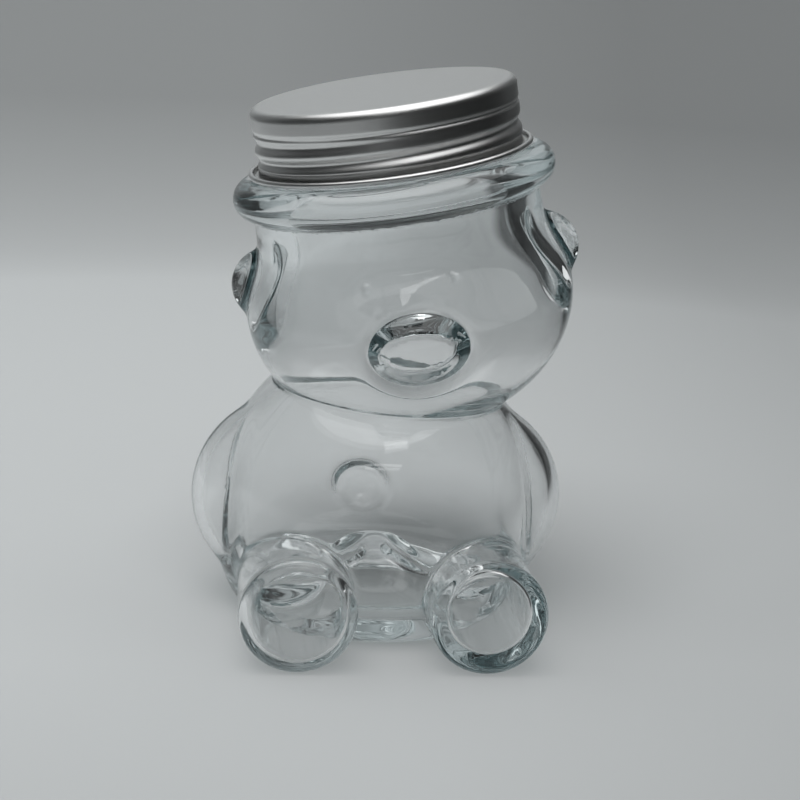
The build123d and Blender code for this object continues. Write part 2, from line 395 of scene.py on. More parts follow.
def outsideField(place, fields):
    body = place - [0, jar["back"], 0]
    side = mirroredSide(body)
    crease = jar["creaseBlend"]
    made = aboutAxis(fields["belly"], body)
    made = join(made, eggField(side, jar["armMiddle"], jar["armRadii"]), crease)
    made = join(made, legField(side, fields["leg"], 0), crease)
    made = join(made, tailField(body, 0), crease)
    spot, face = headSpots(place)
    head = aboutAxis(fields["head"], spot)
    mirrored = mirroredSide(face)
    ear = jar["earRadii"]
    head = join(head, eggField(mirrored, (jar["earReach"] - ear[0], 0, -jar["earDrop"]), ear), crease)
    muzzle = muzzleField(face, jar["muzzleRoot"], jar["muzzleFace"], jar["muzzleRise"], jar["muzzleEdge"])
    head = join(head, muzzle, jar["muzzleBlend"])
    eye = math.radians(jar["eyeTurn"])
    eyeSpot = (math.sin(eye) * jar["eyeOut"], -math.cos(eye) * jar["eyeOut"], -jar["eyeDrop"])
    head = join(head, eggField(mirrored, eyeSpot, jar["eyeRadii"]), jar["eyeBlend"])
    head = join(head, threadField(spot), jar["threadBlend"])
    made = join(made, head, jar["headBlend"])
    return keepBoth(made, -place[:, 2], jar["tableBlend"])  # flat on the table


def legField(side, field, raised):
    # the leg's axis drops a little towards the hip, so the radius is taken about that line
    share = (-side[:, 1] - jar["hipReach"]) / (jar["footReach"] - jar["hipReach"])
    spread = np.clip(share, 0, 1) * (jar["footRadius"] - jar["hipRadius"])
    level = jar["footLift"] + raised + jar["hipRadius"] + spread
    return readField(field, np.hypot(side[:, 0] - jar["footSpread"], side[:, 2] - level), -side[:, 1])


def insideField(place, fields):
    body = place - [0, jar["back"], 0]
    side = mirroredSide(body)
    soft, wall = jar["insideBlend"], jar["wall"]
    made = aboutAxis(fields["bellyInside"], body)
    made = join(made, eggField(side, jar["armMiddle"], np.array(jar["armRadii"]) - wall), soft)
    made = join(made, legField(body * [-1, 1, 1], fields["rightInside"], 0), soft)
    made = join(made, legField(body, fields["leftInside"], jar["leftHollowLift"]), soft)
    made = join(made, tailField(body, wall), jar["tailInsideBlend"])
    spot, face = headSpots(place)
    head = aboutAxis(fields["headInside"], spot)
    pocket = muzzleField(face, jar["pocketRoot"], jar["pocketEnd"], jar["pocketRise"], jar["pocketEdge"])
    head = join(head, pocket, jar["pocketBlend"])
    made = join(made, head, jar["neckInsideBlend"])
    x, y, z = (place * 1000).T  # the ripple's lengths are in millimetres
    short = np.sin(x / 5.3 + np.sin(z / 7.9)) * np.sin(y / 6.1 + 1.7)
    long = np.sin(z / 8.7 + x / 13.0) * np.sin(y / 9.1 - z / 17.0 + 0.6)
    fade = np.clip((jar["rippleTop"] - place[:, 2]) / jar["rippleFade"], 0, 1)
    return made + jar["ripple"] * (short + long) * fade


def glassField(place, fields):
    made = np.empty(len(place))
    count = jar["slice"]
    for start in range(0, len(place), count):
        part = place[start : start + count]
        outside, inside = outsideField(part, fields), insideField(part, fields)
        made[start : start + count] = keepBoth(outside, -inside, jar["mouthEdge"])
    return made


def surfaceNet(values, low, step):
    # one point in each cell that the surface crosses, and one square for each grid edge that it crosses
    cells = tuple(n - 1 for n in values.shape)
    total, count = np.zeros(cells + (3,)), np.zeros(cells)
    inside = values < 0
    crossed = []
    for axis in range(3):
        a = np.take(values, range(values.shape[axis] - 1), axis)
        b = np.take(values, range(1, values.shape[axis]), axis)
        cut = (a < 0) != (b < 0)
        crossed.append(cut)
        share = np.where(cut, a / np.where(cut, a - b, 1), 0)
        others = [k for k in range(3) if k != axis]
        for du in (0, 1):
            for dv in (0, 1):
                window = [slice(None)] * 3
                window[others[0]] = slice(du, du + cells[others[0]])
                window[others[1]] = slice(dv, dv + cells[others[1]])
                here = cut[tuple(window)]
                count += here
                total[..., axis] += share[tuple(window)]
                total[..., others[0]] += here * du
                total[..., others[1]] += here * dv
    active = count > 0
    number = np.full(cells, -1)
    number[active] = np.arange(active.sum())
    corner = np.argwhere(active)
    points = low + step * (corner + total[active] / count[active][:, None])
    squares = []
    for axis in range(3):
        u, v = (axis + 1) % 3, (axis + 2) % 3
        spot = np.argwhere(crossed[axis])
        within = (spot[:, u] > 0) & (spot[:, v] > 0) & (spot[:, u] < cells[u]) & (spot[:, v] < cells[v])
        spot = spot[within]
        face = []
        for du, dv in ((-1, -1), (0, -1), (0, 0), (-1, 0)):
            cell = spot.copy()
            cell[:, u] += du
            cell[:, v] += dv
            face.append(number[tuple(cell.T)])
        face = np.stack(face, 1)
        outward = inside[tuple(spot.T)]
        squares.append(np.where(outward[:, None], face, face[:, ::-1]))
    return points, np.vstack(squares)


def slopeOf(points, fields, reach=0.00008):
    slope = np.empty_like(points)
    for axis in range(3):
        shift = np.zeros(3)
        shift[axis] = reach
        ahead, behind = glassField(points + shift, fields), glassField(points - shift, fields)
        slope[:, axis] = (ahead - behind) / (2 * reach)
    return slope


def settle(points, fields, rounds, longest=0.0006, least=0.05):
    # moves points along the slope, at most so long a step at a time, until they lie on the surface
    for _ in range(rounds):
        slope = slopeOf(points, fields)
        steep = np.maximum((slope**2).sum(1), least)[:, None]
        off = glassField(points, fields)[:, None] * slope / steep
        length = np.linalg.norm(off, axis=1)[:, None]
        points = points - off * np.minimum(1, longest / np.maximum(length, 1e-12))
    return points


def meshFrom(name, points, faces):
    mesh = bpy.data.meshes.new(name)
    sides = faces.shape[1]
    mesh.vertices.add(len(points))
    mesh.vertices.foreach_set("co", np.asarray(points, np.float32).ravel())
    mesh.loops.add(faces.size)
    mesh.loops.foreach_set("vertex_index", faces.astype(np.int32).ravel())
    mesh.polygons.add(len(faces))
    mesh.polygons.foreach_set("loop_start", np.arange(0, faces.size, sides, dtype=np.int32))
    mesh.update(calc_edges=True)
    mesh.shade_smooth()
    return mesh


def addPiece(name, mesh):
    piece = bpy.data.objects.new(name, mesh)
    bpy.context.scene.collection.objects.link(piece)
    return piece


def finishedMesh(piece, name):
    # the modifiers' result as a plain mesh
    evaluated = piece.evaluated_get(bpy.context.evaluated_depsgraph_get())
    mesh = bpy.data.meshes.new_from_object(evaluated)
    mesh.name = name
    piece.modifiers.clear()
    return mesh


def settleMesh(mesh, fields, rounds):
    points = settle(cornersOf(mesh), fields, rounds)
    mesh.vertices.foreach_set("co", points.astype(np.float32).ravel())
    return points


def cornersOf(mesh):
    points = np.zeros(len(mesh.vertices) * 3)
    mesh.vertices.foreach_get("co", points)
    return points.reshape(-1, 3)


def finerThread(mesh, reach, fields):
    # halves the edges near the thread, whose bead is hardly thicker than a cell
    near = np.abs(threadField(headSpots(cornersOf(mesh))[0])) < reach
    work = bmesh.new()
    work.from_mesh(mesh)
    edges = [edge for edge in work.edges if near[edge.verts[0].index] or near[edge.verts[1].index]]
    bmesh.ops.subdivide_edges(work, edges=edges, cuts=1, use_grid_fill=True)
    work.to_mesh(mesh)
    work.free()
    settleMesh(mesh, fields, 2)


def makeGlass():
    rightLeg, leftLeg = (legOutline(wall, edge) for wall, edge in zip(jar["legWalls"], jar["legInsideEdges"]))
    fields = {
        "belly": turnedField(bellyOutline(0), *jar["bodyTable"]),
        "bellyInside": turnedField(bellyOutline(jar["wall"]), *jar["hollowTable"]),
        "leg": turnedField(legOutline(0, jar["soleEdge"]), *jar["legTable"]),
        "rightInside": turnedField(rightLeg, *jar["legTable"]),
        "leftInside": turnedField(leftLeg, *jar["legTable"]),
        "head": turnedField(headOutline(), *jar["headTable"]),
        "headInside": turnedField(headHollow(), *jar["hollowTable"]),
    }
    step = jar["gridStep"] * 1
    low, high = (np.array(v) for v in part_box("glass_jar"))
    low, high = low - 2.3 * step, high + 2.3 * step
    axes = [np.arange(low[k], high[k], step) for k in range(3)]
    shape = tuple(len(a) for a in axes)
    place = np.stack(np.meshgrid(*axes, indexing="ij"), -1).reshape(-1, 3)
    values = glassField(place, fields).reshape(shape)
    points, squares = surfaceNet(values, low, step)
    print("glass surface found:", len(squares), "squares")
    mesh = meshFrom("bear_glass", settle(points, fields, 2), squares)
    for reach in jar["threadReaches"]:
        finerThread(mesh, reach, fields)
    piece = addPiece("bear_glass", mesh)
    most, triangles = jar["mostTriangles"], len(mesh.loops) - 2 * len(mesh.polygons)
    print("glass surface has", triangles, "triangles with its thread made finer")
    if triangles > most:
        thin = piece.modifiers.new("thin", "DECIMATE")
        thin.ratio = most / triangles
        old = piece.data
        piece.data = finishedMesh(piece, "bear_glass")
        bpy.data.meshes.remove(old)
    mesh = piece.data
    points = settleMesh(mesh, fields, 3)
    slope = slopeOf(points, fields)
    outward = slope / np.linalg.norm(slope, axis=1)[:, None]
    mesh.shade_smooth()
    mesh.normals_split_custom_set_from_vertices(outward.tolist())
    mesh.update()
    print("glass piece made:", len(mesh.polygons), "faces")
    return piece


def mathNode(tree, operation, *values):
    node = tree.nodes.new("ShaderNodeMath")
    node.operation = operation
    for slot, value in zip(node.inputs, values):
        if isinstance(value, (int, float)):
            slot.default_value = value
        else:
            wire(tree, value, slot)
    return node.outputs[0]


def product(tree, first, *others):
    for other in others:
        first = mathNode(tree, "MULTIPLY", first, other)
    return first


def farFromAxis(tree, x, y):
    return mathNode(tree, "SQRT", mathNode(tree, "ADD", product(tree, x, x), product(tree, y, y)))


def splitVector(tree, source):
    apart = tree.nodes.new("ShaderNodeSeparateXYZ")
    wire(tree, source, apart.inputs[0])
    return apart.outputs


def joinVector(tree, *values):
    whole = tree.nodes.new("ShaderNodeCombineXYZ")
    for slot, value in zip(whole.inputs, values):
        wire(tree, value, slot)
    return whole.outputs[0]


def turnedTree():
    # turns a line about an axis and rolls a thread groove into it
    tree = bpy.data.node_groups.new("turnedSheet", "GeometryNodeTree")
    face = tree.interface
    face.new_socket("Line", in_out="INPUT", socket_type="NodeSocketGeometry")
    for name, kind in (
        ("Steps Round", "Int"),
        ("Steps Along", "Int"),
        ("Groove Depth", "Float"),
        ("Groove Half Width", "Float"),
        ("Thread Pitch", "Float"),
        ("Thread Turns", "Float"),
        ("Thread Start Height", "Float"),
        ("Thread Start Turn", "Float"),
    ):
        face.new_socket(name, in_out="INPUT", socket_type="NodeSocket" + kind)
    face.new_socket("Finish", in_out="INPUT", socket_type="NodeSocketMaterial")
    face.new_socket("Surface", in_out="OUTPUT", socket_type="NodeSocketGeometry")
    entry = tree.nodes.new("NodeGroupInput").outputs
    line = tree.nodes.new("GeometryNodeMeshToCurve")
    wire(tree, entry["Line"], line.inputs["Mesh"])

    # a sheet of squares, one way round the axis and the other way along the line
    sheet = tree.nodes.new("GeometryNodeMeshGrid")
    sheet.inputs["Size X"].default_value = 1
    sheet.inputs["Size Y"].default_value = 1
    wire(tree, entry["Steps Along"], sheet.inputs["Vertices X"])
    wire(tree, entry["Steps Round"], sheet.inputs["Vertices Y"])
    where = tree.nodes.new("GeometryNodeInputPosition")
    across, around, _ = splitVector(tree, where.outputs[0])
    along = mathNode(tree, "ADD", across, 0.5)
    angle = product(tree, around, 2 * math.pi)
    sample = tree.nodes.new("GeometryNodeSampleCurve")
    sample.mode = "FACTOR"
    wire(tree, line.outputs[0], sample.inputs["Curves"])
    wire(tree, along, sample.inputs["Factor"])
    radius, _, height = splitVector(tree, sample.outputs["Position"])

    # how far along the thread each point lies, in turns, and how far above or below its middle
    pitch = entry["Thread Pitch"]
    share = mathNode(tree, "SUBTRACT", around, entry["Thread Start Turn"])
    share = mathNode(tree, "FLOORED_MODULO", share, 1.0)
    rise = mathNode(tree, "SUBTRACT", height, entry["Thread Start Height"])
    climb = mathNode(tree, "DIVIDE", rise, pitch)
    whole = mathNode(tree, "ROUND", mathNode(tree, "SUBTRACT", climb, share))
    turn = mathNode(tree, "ADD", share, whole)
    away = product(tree, mathNode(tree, "SUBTRACT", climb, turn), pitch)
    near = mathNode(tree, "DIVIDE", mathNode(tree, "ABSOLUTE", away), entry["Groove Half Width"])
    near = mathNode(tree, "MINIMUM", near, 1.0)
    bowl = mathNode(tree, "COSINE", product(tree, near, math.pi))
    bowl = mathNode(tree, "MULTIPLY_ADD", bowl, 0.5, 0.5)
    left = mathNode(tree, "SUBTRACT", entry["Thread Turns"], turn)
    ends = product(tree, mathNode(tree, "MINIMUM", turn, left), 5.0)  # over a fifth of a turn
    fade = tree.nodes.new("ShaderNodeMapRange")
    fade.interpolation_type = "SMOOTHSTEP"
    wire(tree, ends, fade.inputs["Value"])
    depth = product(tree, bowl, fade.outputs[0], entry["Groove Depth"])
    radius = mathNode(tree, "SUBTRACT", radius, depth)

    cosine, sine = mathNode(tree, "COSINE", angle), mathNode(tree, "SINE", angle)
    place = joinVector(tree, product(tree, radius, cosine), product(tree, radius, sine), height)
    move = tree.nodes.new("GeometryNodeSetPosition")
    wire(tree, sheet.outputs["Mesh"], move.inputs["Geometry"])
    wire(tree, place, move.inputs["Position"])
    close = tree.nodes.new("GeometryNodeMergeByDistance")
    close.inputs["Distance"].default_value = 0.000002
    wire(tree, move.outputs[0], close.inputs["Geometry"])
    smooth = tree.nodes.new("GeometryNodeSetShadeSmooth")
    wire(tree, close.outputs[0], smooth.inputs["Geometry"])
    real = tree.nodes.new("GeometryNodeRealizeInstances")
    wire(tree, smooth.outputs[0], real.inputs["Geometry"])
    finish = tree.nodes.new("GeometryNodeSetMaterial")
    wire(tree, real.outputs[0], finish.inputs["Geometry"])
    wire(tree, entry["Finish"], finish.inputs["Material"])
    leave = tree.nodes.new("NodeGroupOutput")
    wire(tree, finish.outputs[0], leave.inputs["Surface"])
    return tree


def turnedPiece(name, outline, tree, sizes, place, wall=0.0):
    points = np.array([(r, 0, z) for r, z in outline])
    line = bpy.data.meshes.new(name + "_line")
    line.from_pydata(points.tolist(), [(k, k + 1) for k in range(len(points) - 1)], [])
    piece = addPiece(name, line)
    turned = piece.modifiers.new("turned", "NODES")
    turned.node_group = tree
    sockets = {s.name: s.identifier for s in tree.interface.items_tree if s.in_out == "INPUT"}
    for key, value in sizes.items():
        turned[sockets[key]] = value
    if wall:
        sheet = piece.modifiers.new("wall", "SOLIDIFY")
        sheet.thickness = wall
        sheet.offset = 0
        sheet.use_even_offset = True
    mesh = finishedMesh(piece, name)
    mesh.transform(place)
    piece.data = mesh
    bpy.data.meshes.remove(line)
    return piece


lid = {
    "sheet": 0.0004,
    "radius": 0.03285,
    "cornerRound": 0.0021,
    "bandHeight": 0.0052,
    "neckDepth": 0.0005,
    "neckHeight": 0.0016,
    "threadHeight": 0.0076,
    "skirtRadius": 0.0326,
    "curlRadius": 0.00075,
    "curlReach": 0.0352,
    "curlOpen": 50.0,
    "neckRounds": (0.001, 0.0008, 0.001),
    "bendRound": 0.0004,
    "grooveDepth": 0.00085,
    "stepsRound": 220,
    "stepsAlong": 210,
}


def lidOutline():
    # the middle of the sheet, from the centre of the top to the end of the curl
    half = lid["sheet"] / 2
    outer, skirt = lid["radius"] - half, lid["skirtRadius"] - half
    top, bottom = neckFinish["lidTop"] - half, neckFinish["lidBottom"] + half
    neckTop = neckFinish["lidTop"] - lid["bandHeight"]
    neckFoot = neckTop - lid["neckHeight"]
    skirtTop = neckFoot - lid["threadHeight"]
    middle = (lid["curlReach"] - lid["curlRadius"], neckFinish["lidBottom"] + lid["curlRadius"])
    bend = lid["bendRound"]
    wallLine = roundedCorners(
        [
            (0, top),
            (outer, top),
            (outer, neckTop),
            (outer - lid["neckDepth"], (neckTop + neckFoot) / 2),
            (outer, neckFoot),
            (outer, skirtTop + lid["radius"] - lid["skirtRadius"]),
            (skirt, skirtTop),
            (skirt, bottom),
            (middle[0], bottom),
        ],
        [lid["cornerRound"] - half, *lid["neckRounds"], bend, bend, bend],
    )
    turn = np.radians(np.linspace(-90, 180 - lid["curlOpen"], 16))
    roll = lid["curlRadius"] - half
    curl = np.stack([middle[0] + roll * np.cos(turn), middle[1] + roll * np.sin(turn)], 1)
    return np.vstack([wallLine[:-1], curl])


liner = {
    "radius": 0.03115,
    "thickness": 0.00115,
    "topGap": 0.0001,
    "edgeRound": 0.0003,
    "pressed": 0.00012,  # the lip leaves a shallow ring in the foam
    "ringRadii": (0.0309, 0.0305, 0.0272, 0.0268),
    "stepsRound": 160,
    "stepsAlong": 110,
}


def linerOutline():
    top = neckFinish["lidTop"] - lid["sheet"] - liner["topGap"]
    low = top - liner["thickness"]
    radius, edge = liner["radius"], liner["edgeRound"]
    ring = list(zip(liner["ringRadii"], (low, low + liner["pressed"], low + liner["pressed"], low)))
    points = [(0, top), (radius, top), (radius, low), *ring, (0, low)]
    return roundedCorners(points, [edge] * 2 + [edge * 0.6] * 4, 5)


def newMaterial(name):
    material = bpy.data.materials.new(name)
    material.use_nodes = True
    tree = material.node_tree
    return material, tree, tree.nodes["Principled BSDF"], tree.nodes["Material Output"]


def clearWhere(tree, share, shader, out, tint=(1, 1, 1, 1)):
    clear = tree.nodes.new("ShaderNodeBsdfTransparent")
    clear.inputs["Color"].default_value = tint
    mix = tree.nodes.new("ShaderNodeMixShader")
    for source, slot in zip((share, shader.outputs[0], clear.outputs[0]), mix.inputs):
        wire(tree, source, slot)
    wire(tree, mix.outputs[0], out.inputs["Surface"])


def addBump(tree, shader, height, strength, distance):
    bump = tree.nodes.new("ShaderNodeBump")
    bump.inputs["Strength"].default_value = strength
    bump.inputs["Distance"].default_value = distance
    wire(tree, height, bump.inputs["Height"])
    wire(tree, bump.outputs[0], shader.inputs["Normal"])


def scaled(tree, colour, amount):
    node = tree.nodes.new("ShaderNodeVectorMath")
    node.operation = "SCALE"
    if isinstance(colour, tuple):
        node.inputs[0].default_value = colour
    else:
        wire(tree, colour, node.inputs[0])
    wire(tree, amount, node.inputs["Scale"])
    return node.outputs[0]


glassFinish = {
    "tint": (0.992, 0.995, 0.996, 1),
    "index": 1.51,
    "lampTint": (0.935, 0.94, 0.94, 1),
    "depthColour": (0.70, 0.78, 0.79, 1),
    "depthDensity": 14.0,
}


def clearGlass():
    material, tree, shader, out = newMaterial("clear_flint_glass")
    shader.inputs["Base Color"].default_value = glassFinish["tint"]
    shader.inputs["Roughness"].default_value = 0.0
    shader.inputs["IOR"].default_value = glassFinish["index"]
    shader.inputs["Transmission Weight"].default_value = 1.0
    # rays from the lamps pass straight through, so what stands behind is lit
    path = tree.nodes.new("ShaderNodeLightPath")
    clearWhere(tree, path.outputs["Is Shadow Ray"], shader, out, glassFinish["lampTint"])
    depth = tree.nodes.new("ShaderNodeVolumeAbsorption")
    depth.inputs["Color"].default_value = glassFinish["depthColour"]
    depth.inputs["Density"].default_value = glassFinish["depthDensity"]
    wire(tree, depth.outputs[0], out.inputs["Volume"])
    return material


def grainGroup():
    # fine lines round an axis, from the tool that spun or brushed the metal
    tree = bpy.data.node_groups.new("spunGrain", "ShaderNodeTree")
    face = tree.interface
    face.new_socket("Vector", in_out="INPUT", socket_type="NodeSocketVector")
    for name in ("Line Scale", "Break Scale"):
        face.new_socket(name, in_out="INPUT", socket_type="NodeSocketFloat")
    face.new_socket("Lines", in_out="OUTPUT", socket_type="NodeSocketFloat")
    entry = tree.nodes.new("NodeGroupInput").outputs
    x, y, z = splitVector(tree, entry["Vector"])
    angle = mathNode(tree, "ARCTAN2", y, x)
    level = mathNode(tree, "ADD", farFromAxis(tree, x, y), z)
    lines = joinVector(
        tree,
        product(tree, mathNode(tree, "COSINE", angle), entry["Break Scale"]),
        product(tree, mathNode(tree, "SINE", angle), entry["Break Scale"]),
        product(tree, level, entry["Line Scale"]),
    )
    grain = tree.nodes.new("ShaderNodeTexNoise")
    grain.inputs["Scale"].default_value = 1.0
    grain.inputs["Detail"].default_value = 4.0
    grain.inputs["Roughness"].default_value = 0.7
    wire(tree, lines, grain.inputs["Vector"])
    leave = tree.nodes.new("NodeGroupOutput")
    wire(tree, grain.outputs[0], leave.inputs["Lines"])
    return tree


def axisCoordinates(tree):
    # object coordinates turned to the head's axis, with the middle of the brim at zero
    where = tree.nodes.new("ShaderNodeTexCoord")
    turn = tree.nodes.new("ShaderNodeMapping")
    turn.vector_type = "TEXTURE"
    turn.inputs["Location"].default_value = headSeat["middle"]
    turn.inputs["Rotation"].default_value = (0, -math.radians(headSeat["lean"]), 0)
    wire(tree, where.outputs["Object"], turn.inputs["Vector"])
    return turn.outputs[0]


def ramp(tree, source, low, high, lowColour, highColour):
    node = tree.nodes.new("ShaderNodeMapRange")
    node.data_type = "FLOAT_VECTOR"
    node.inputs[7].default_value = (low,) * 3
    node.inputs[8].default_value = (high,) * 3
    node.inputs[9].default_value = lowColour
    node.inputs[10].default_value = highColour
    wire(tree, source, node.inputs[6])
    return node.outputs[1]


def blend(tree, share, a, b):
    node = tree.nodes.new("ShaderNodeMix")
    wire(tree, share, node.inputs[0])
    for slot, value in ((node.inputs[2], a), (node.inputs[3], b)):
        if isinstance(value, float):
            slot.default_value = value
        else:
            wire(tree, value, slot)
    return node.outputs[0]


def spreadFloat(tree, source, low, high, lowValue, highValue):
    node = tree.nodes.new("ShaderNodeMapRange")
    for slot, value in zip(node.inputs[1:5], (low, high, lowValue, highValue)):
        slot.default_value = value
    wire(tree, source, node.inputs[0])
    return node.outputs[0]


aluminiumFinish = {
    "colour": (0.80, 0.80, 0.795),
    "shade": (0.74, 0.74, 0.735),
    "rough": (0.31, 0.38),
    "lineScale": 5200.0,
    "breakScale": 3.0,
    "lineRange": (0.3, 0.7),
    "grainHeight": 0.000012,
    "grainStrength": 0.5,
    "skirtShade": 0.5,
    "skirtHeights": (0.0086, 0.007),
    "skirtRadii": (0.0332, 0.0329),
}


def satinAluminium(group):
    finish = aluminiumFinish
    material, tree, shader, _ = newMaterial("satin_lid_aluminium")
    vector = axisCoordinates(tree)
    grain = tree.nodes.new("ShaderNodeGroup")
    grain.node_tree = group
    wire(tree, vector, grain.inputs["Vector"])
    grain.inputs["Line Scale"].default_value = finish["lineScale"]
    grain.inputs["Break Scale"].default_value = finish["breakScale"]
    lines = grain.outputs["Lines"]
    colour = ramp(tree, lines, *finish["lineRange"], finish["shade"], finish["colour"])
    # painted shade darkens the low skirt behind the curl
    x, y, z = splitVector(tree, vector)
    low = spreadFloat(tree, z, *finish["skirtHeights"], 0.0, 1.0)
    inner = spreadFloat(tree, farFromAxis(tree, x, y), *finish["skirtRadii"], 0.0, 1.0)
    paintedSkirtShade = product(tree, low, inner, 1 - finish["skirtShade"])
    colour = scaled(tree, colour, mathNode(tree, "SUBTRACT", 1.0, paintedSkirtShade))
    wire(tree, colour, shader.inputs["Base Color"])
    rough = spreadFloat(tree, lines, *finish["lineRange"], *finish["rough"])
    wire(tree, rough, shader.inputs["Roughness"])
    shader.inputs["Metallic"].default_value = 1.0
    addBump(tree, shader, lines, finish["grainStrength"], finish["grainHeight"])
    return material


foamFinish = {
    "light": (0.90, 0.90, 0.88),
    "dark": (0.80, 0.80, 0.78),
    "rough": 0.85,
    "cellScale": 3200.0,
    "cellHeight": 0.00005,
    "cellStrength": 0.6,
}


def linerFoam():
    material, tree, shader, _ = newMaterial("white_liner_foam")
    where = tree.nodes.new("ShaderNodeTexCoord")
    cells = tree.nodes.new("ShaderNodeTexVoronoi")
    cells.inputs["Scale"].default_value = foamFinish["cellScale"]
    wire(tree, where.outputs["Object"], cells.inputs["Vector"])
    colour = ramp(tree, cells.outputs["Distance"], 0.0, 0.7, foamFinish["dark"], foamFinish["light"])
    wire(tree, colour, shader.inputs["Base Color"])
    shader.inputs["Roughness"].default_value = foamFinish["rough"]
    addBump(tree, shader, cells.outputs["Distance"], foamFinish["cellStrength"], foamFinish["cellHeight"])
    return material


# The studio is a grey sweep that rises on every side, soft panels above and a dim room.
studio = {
    "floorRadius": 0.44,
    "bend": 0.34,
    "wallHeight": 0.95,
    "floorDrop": 0.00003,
    "stepsRound": 128,
    "stepsAlong": 60,
    "floorColour": (0.50, 0.519, 0.523),
    # painted light and shade on the paper: lighter to the back, darker at the front, up the wall and to the
    # right
    "paintedBackLight": 1.2,
    "backRange": (0.0, 0.37),
    "frontShade": 0.88,
    "frontRange": (-0.04, -0.14),
    "wallThrough": 0.86,
    "wallShade": 0.53,  # painted shade: the paper is darker up the wall and to the right
    "wallRange": (0.4, 0.62),
    "rightShade": 0.78,
    "rightRange": (0.0, 0.2),
    # painted reflection: the paper looks brighter in metal
    "paintedReflectionLevel": 1.9,
    "mirrorRange": (0.08, 0.34),
    "frontSeen": (0.75, 0.22),  # painted shade for the open front and sides, as seen in metal and through glass
    "leftSeen": (0.62, 0.0),
    "rightSeen": (0.75, 0.9),
    "openBearing": (0.6, 0.2),
    "openRadius": (0.46, 0.6),
    "openFront": (-0.1, -0.3),
    "openHeight": (0.004, 0.05),
    "openRight": (0.1, 0.18),
    "rightSlant": 0.33,
    "openLeft": (-0.29, -0.4),
    "roomColour": (0.045, 0.047, 0.05),
    "ceilingColour": (1.15, 1.16, 1.16),
    "ceilingRange": (0.4, 0.85),
    "ceilingGlow": 0.6,
    "glowRange": (0.7, 0.92),
}
lamps = {
    "softbox": {"size": (0.85, 0.75), "power": 13.0, "place": (-0.19, -0.42, 1.2), "aim": (0, 0, 0.08)},
    "frontStrip": {"size": (0.3, 0.02), "power": 0.05, "place": (-0.02, -0.53, 0.42), "aim": (0, 0, 0.08)},
    "smallLamp": {"size": (0.3, 0.11), "power": 0.15, "place": (0.139, -0.655, 0.833), "aim": (0, 0, 0.09)},
    "overheadPanel": {"size": (0.8, 0.6), "power": 1.5, "place": (0, 0.12, 0.8), "aim": (0, 0.08, 0)},
    "leftPanel": {"size": (0.6, 0.5), "power": 0.4, "place": (-0.5, 0.05, 0.5), "aim": (0, 0, 0.08)},
}
mirroredLamps = ("frontStrip", "smallLamp")  # only these show in metal and glass


def sweepMaterial():
    material, tree, shader, out = newMaterial("grey_sweep_paper")
    where = tree.nodes.new("ShaderNodeTexCoord")
    x, y, z = splitVector(tree, where.outputs["Object"])
    far = farFromAxis(tree, x, y)
    # painted light and shade on the paper: lighter towards the back, darker up the wall (less so through
    # glass), to the right and at the front
    back = spreadFloat(tree, y, *studio["backRange"], 1.0, studio["paintedBackLight"])
    path = tree.nodes.new("ShaderNodeLightPath").outputs
    through = path["Is Transmission Ray"]
    glossy = product(tree, path["Is Glossy Ray"], mathNode(tree, "SUBTRACT", 1.0, through))
    dark = blend(tree, through, studio["wallShade"], studio["wallThrough"])
    rise = spreadFloat(tree, far, *studio["wallRange"], 0.0, 1.0)
    wall = blend(tree, rise, 1.0, dark)
    right = spreadFloat(tree, x, *studio["rightRange"], 1.0, studio["rightShade"])
    front = spreadFloat(tree, y, *studio["frontRange"], 1.0, studio["frontShade"])
    level = product(tree, back, wall, right, front)
    # painted reflection and shade: metal sees the paper brighter, and the open, dark front and sides of the
    # tent darker, and so does glass, but less of it
    boost = spreadFloat(tree, z, *studio["mirrorRange"], 1.0, studio["paintedReflectionLevel"])
    level = product(tree, level, blend(tree, glossy, 1.0, boost))
    bearing = mathNode(tree, "DIVIDE", y, mathNode(tree, "MAXIMUM", far, 0.01))
    ahead = spreadFloat(tree, bearing, *studio["openBearing"], 0.0, 1.0)
    mirrored = product(tree, ahead, spreadFloat(tree, far, *studio["openRadius"], 0.0, 1.0))
    near = blend(tree, glossy, spreadFloat(tree, y, *studio["openFront"], 0.0, 1.0), mirrored)
    lifted = mathNode(tree, "MAXIMUM", glossy, spreadFloat(tree, z, *studio["openHeight"], 0.0, 1.0))
    toFront = product(tree, near, lifted)
    beside = mathNode(tree, "SUBTRACT", x, product(tree, y, studio["rightSlant"]))
    toRight = spreadFloat(tree, beside, *studio["openRight"], 0.0, 1.0)
    toLeft = spreadFloat(tree, x, *studio["openLeft"], 0.0, 1.0)
    for side, seen in ((toFront, "frontSeen"), (toRight, "rightSeen"), (toLeft, "leftSeen")):
        metal, glass = studio[seen]
        weight = mathNode(tree, "MAXIMUM", product(tree, glossy, metal), product(tree, through, glass))
        level = product(tree, level, mathNode(tree, "SUBTRACT", 1.0, product(tree, side, weight)))
    shader.inputs["Roughness"].default_value = 0.9
    shader.inputs["Specular IOR Level"].default_value = 0.1
    wire(tree, scaled(tree, studio["floorColour"], level), shader.inputs["Base Color"])
    # no one sees the sweep from below
    clearWhere(tree, tree.nodes.new("ShaderNodeNewGeometry").outputs["Backfacing"], shader, out)
    return material


def makeSweep(tree):
    bend, floor = studio["bend"], studio["floorRadius"]
    angle = np.linspace(0, math.pi / 2, 24)
    rise = np.stack([floor + bend * np.sin(angle), bend - bend * np.cos(angle)], 1)
    outline = np.vstack([[(0, 0)], rise, [(floor + bend, studio["wallHeight"])]])
    sizes = {
        "Steps Round": studio["stepsRound"] + 1,
        "Steps Along": studio["stepsAlong"],
        "Groove Half Width": 1.0,
        "Thread Pitch": 1.0,
        "Finish": sweepMaterial(),
    }
    sweep = turnedPiece("grey_sweep", outline, tree, sizes, Matrix.Translation((0, 0, -studio["floorDrop"])))


